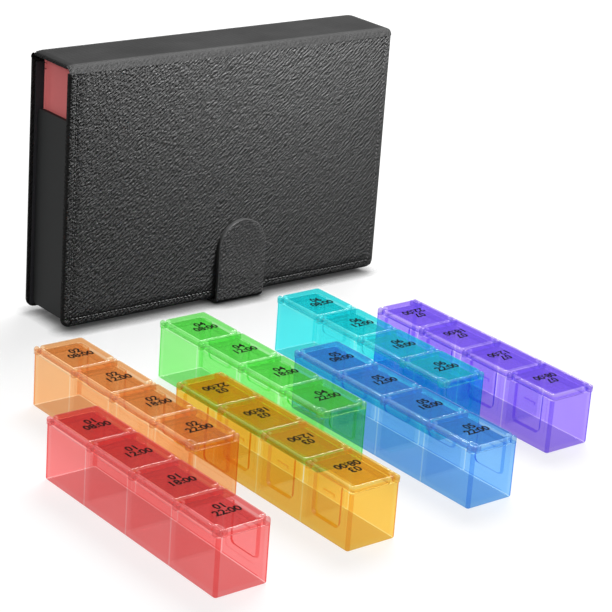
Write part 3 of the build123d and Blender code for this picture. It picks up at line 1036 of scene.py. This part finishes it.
def panelStitches(name, low, high, faceY, outY, body):
    inset = panelShape["inset"]
    depth = faceY - outY * stitchShape["sunk"]
    left = low.x + inset
    right = high.x - inset
    foot = low.z + inset
    head = high.z - stitchShape["headGap"]
    return sew(name, [(left, depth, head), (left, depth, foot), (right, depth, foot), (right, depth, head)],
               outY, body)


def sewAnchor():
    inset = stitchShape["anchorInset"]
    depth = anchorHigh.y - stitchShape["sunk"]
    left = anchorLow.x + inset
    right = anchorHigh.x - inset
    head = anchorHigh.z - inset
    foot = head - stitchShape["anchorHeight"]
    ring = [(left, depth, head), (right, depth, head), (right, depth, foot), (left, depth, foot)]
    return sew("anchorStitches", ring + ring[:1], 1, "cover")


frontStitches = panelStitches("frontStitches", frontLow, frontHigh, frontLow.y, -1, "case")
coverStitches = panelStitches("coverStitches", coverLow, coverHigh, coverHigh.y, 1, "cover")
anchorStitches = sewAnchor()
print("stitches sewn")


# labels: day number over the hour, printed on each lid

labelPrint = {"days": {"red": 1, "orange": 2, "yellow": 3, "green": 4, "blue": 5, "cyan": 6, "purple": 7},
              "hours": ("08:00", "12:00", "18:00", "22:00"), "size": 5.2 * mm, "lineSpace": 0.85,
              "thick": 0.03 * mm, "bold": 0.13 * mm, "shift": 0.6 * mm}


def printLabel(colour, lid):
    nodeName = "%s_lid_%d" % (colour, lid)
    low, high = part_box(nodeName)
    text = bpy.data.curves.new("label_" + nodeName, "FONT")
    text.body = "%02d\n%s" % (labelPrint["days"][colour], labelPrint["hours"][lid - 1])
    text.align_x = "CENTER"
    text.align_y = "CENTER"
    text.size = labelPrint["size"]
    text.space_line = labelPrint["lineSpace"]
    text.extrude = labelPrint["thick"]
    text.offset = labelPrint["bold"]
    text.resolution_u = 4
    made = addObject("label_" + nodeName, text)
    flip = colour in turnedBoxes
    shift = -labelPrint["shift"] if flip else labelPrint["shift"]
    made.matrix_world = (Matrix.Translation(((low.x + high.x) / 2 + shift, (low.y + high.y) / 2, high.z))
                         @ Matrix.Rotation(math.pi if flip else 0, 4, "Z"))
    bpy.context.view_layer.update()
    shape = bpy.data.meshes.new_from_object(made.evaluated_get(bpy.context.evaluated_depsgraph_get()))
    shape.transform(made.matrix_world)
    bpy.data.objects.remove(made)
    piece = addObject("label_" + nodeName, shape)
    shape.materials.clear()
    shape.materials.append(labelInk)
    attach(piece, nodeName)


for colour in labelPrint["days"]:
    for index in cells:
        printLabel(colour, index + 1)
print("labels printed")


# floor, light and camera

studio = {"floorAlbedo": 0.28, "mottle": 0.004, "mottleScale": 0.02, "floorReach": 6.0, "floorDrop": -0.0002,
          "floorLift": 0.73, "farLift": 0.87, "liftSpan": (0.35, 1.1), "shadowReach": 8 * mm,
          "shadowPower": 3.2, "shadowBand": (16 * mm, 8 * mm), "worldLight": 0.42}


# one for rays that see a thing outright, in a gloss or through something clear, else nought
def seenRays(tree):
    path = addNode(tree, "LightPath")
    seen = math2(tree, "MAXIMUM", path.outputs["Is Camera Ray"], path.outputs["Is Glossy Ray"])
    return math2(tree, "MAXIMUM", seen, path.outputs["Is Transmission Ray"])


def makeFloor():
    mat, tree = startMaterial("paleFloor")
    shades = [(studio["floorAlbedo"] + side * studio["mottle"],) * 3 for side in (-1, 1)]
    mottle = noiseOf(tree, millimetres(tree), studio["mottleScale"], 2.0)
    paint = addNode(tree, "BsdfDiffuse", {"Color": ramp(tree, mottle, [(0.0, shades[0]), (1.0, shades[1])])})
    where = objectPlace(tree)
    split = addNode(tree, "SeparateXYZ", {0: where})
    # the floor's glow is dimmed by ambient occlusion from just in front of the case backwards: a painted
    # contact shadow under the case
    nearCase = remap(tree, split.outputs["Y"], [frontLow.y - d for d in studio["shadowBand"]])
    hidden = addNode(tree, "AmbientOcclusion", {"Distance": studio["shadowReach"]}, samples=8)
    covered = math2(tree, "SUBTRACT", 1.0, math2(tree, "POWER", hidden.outputs["AO"], studio["shadowPower"]))
    uncovered = math2(tree, "SUBTRACT", 1.0, math2(tree, "MULTIPLY", covered, nearCase))
    distance = addNode(tree, "VectorMath", {0: where}, operation="LENGTH")
    lifts = studio["floorLift"], studio["farLift"]
    level = remap(tree, distance.outputs["Value"], studio["liftSpan"], lifts)
    lift = math2(tree, "MULTIPLY", seenRays(tree), math2(tree, "MULTIPLY", uncovered, level))
    glow = addNode(tree, "Emission", {"Color": (1, 1, 1, 1), "Strength": lift})
    surface(tree, addNode(tree, "AddShader", {0: paint.outputs[0], 1: glow.outputs[0]}))
    reach = studio["floorReach"]
    corners = ((-reach, -reach), (reach, -reach), (reach, reach), (-reach, reach))
    drop = studio["floorDrop"]   # a hair below, so that no two faces share a plane
    floor = meshObject("floor", [(x, y, drop) for x, y in corners], [(0, 1, 2, 3)], mat)


def makeWorld():
    world = bpy.data.worlds.new("studioWorld")
    scene.world = world
    world.use_nodes = True
    tree = world.node_tree
    tree.nodes.clear()
    dim = studio["worldLight"]
    strength = addNode(tree, "Math", {0: seenRays(tree), 1: 1.0 - dim, 2: dim}, operation="MULTIPLY_ADD")
    back = addNode(tree, "Background", {"Color": (1, 1, 1, 1), "Strength": strength.outputs[0]})
    surface(tree, back, "OutputWorld")


def makeLamp(name, place, aim, size, power):
    lamp = bpy.data.lights.new(name, "AREA")
    lamp.shape = "DISK"
    lamp.size = size
    lamp.energy = power
    made = addObject(name, lamp)
    made.location = place
    made.rotation_euler = (Vector(aim) - Vector(place)).to_track_quat("-Z", "Y").to_euler()
    return made


photoView = {"azimuth": 39.48, "elevation": 20.67, "roll": 4.21, "distance": 0.90416, "focal": 2186.5,
             "aim": (0.00401, -0.00719, 0.040), "imageWidth": 612, "sensor": 36}


def makeCamera():
    az = math.radians(photoView["azimuth"])
    el = math.radians(photoView["elevation"])
    back = Vector((-math.sin(az) * math.cos(el), -math.cos(az) * math.cos(el), math.sin(el)))
    lens = bpy.data.cameras.new("photoView")
    lens.sensor_width = photoView["sensor"]
    lens.sensor_fit = "HORIZONTAL"
    lens.lens = photoView["focal"] / photoView["imageWidth"] * photoView["sensor"]
    lens.clip_start = 0.01
    scene.camera = addObject("photoView", lens)
    level = back.to_track_quat("Z", "Y").to_matrix().to_4x4()
    roll = Matrix.Rotation(math.radians(photoView["roll"]), 4, "Z")
    place = Matrix.Translation(Vector(photoView["aim"]) + back * photoView["distance"])
    scene.camera.matrix_world = place @ level @ roll


makeFloor()
makeWorld()
makeLamp("keyLamp", (0.45, 0.35, 0.85), (0, 0, 0.03), 0.6, 11.0)
makeLamp("fillLamp", (-0.5, -0.7, 0.7), (0, 0, 0.05), 0.8, 1.9)

# lamps linked to a few pieces each: the strap's are further off, because it swings up, the spine's is low,
# so that it lights the spine only when that is folded up, and the window's shines on the box inside
linkedAim = (0.05, 0.115, 0.06)
linkedSize = 0.07
linkedLamps = {   # place, power and the pieces that are lit
    "front": ((0.08, 0.03, 0.3), 9.2, (frontPanel, frontStitches)),
    "rear": ((0.08, 0.205, 0.3), 9.2, (coverPanel, coverStitches)),
    "spineFront": ((0.1, -1.2, 0.18), 50.0, (spinePanel,)),
    "foldFront": ((0.1, -0.9, 0.56), 95.0, (frontFold,)),
    "foldRear": ((0.1, 1.13, 0.56), 95.0, (rearFold,)),
    "strapFront": ((0.35, -0.4, 1.1), 115.0, (closingStrap, coverPanel, coverStitches)),
    "strapRear": ((0.35, 0.63, 1.1), 115.0, (closingStrap, anchorStitches)),
    "window": ((-0.6, 0.05, 0.2), 0.6, stowedPieces),
}
for name, (place, power, pieces) in linkedLamps.items():
    lamp = makeLamp(name + "Lamp", place, linkedAim, linkedSize, power)
    receivers = bpy.data.collections.new(name + "Lit")
    for piece in pieces:
        receivers.objects.link(piece)
    lamp.light_linking.receiver_collection = receivers
makeCamera()
print("stage set")
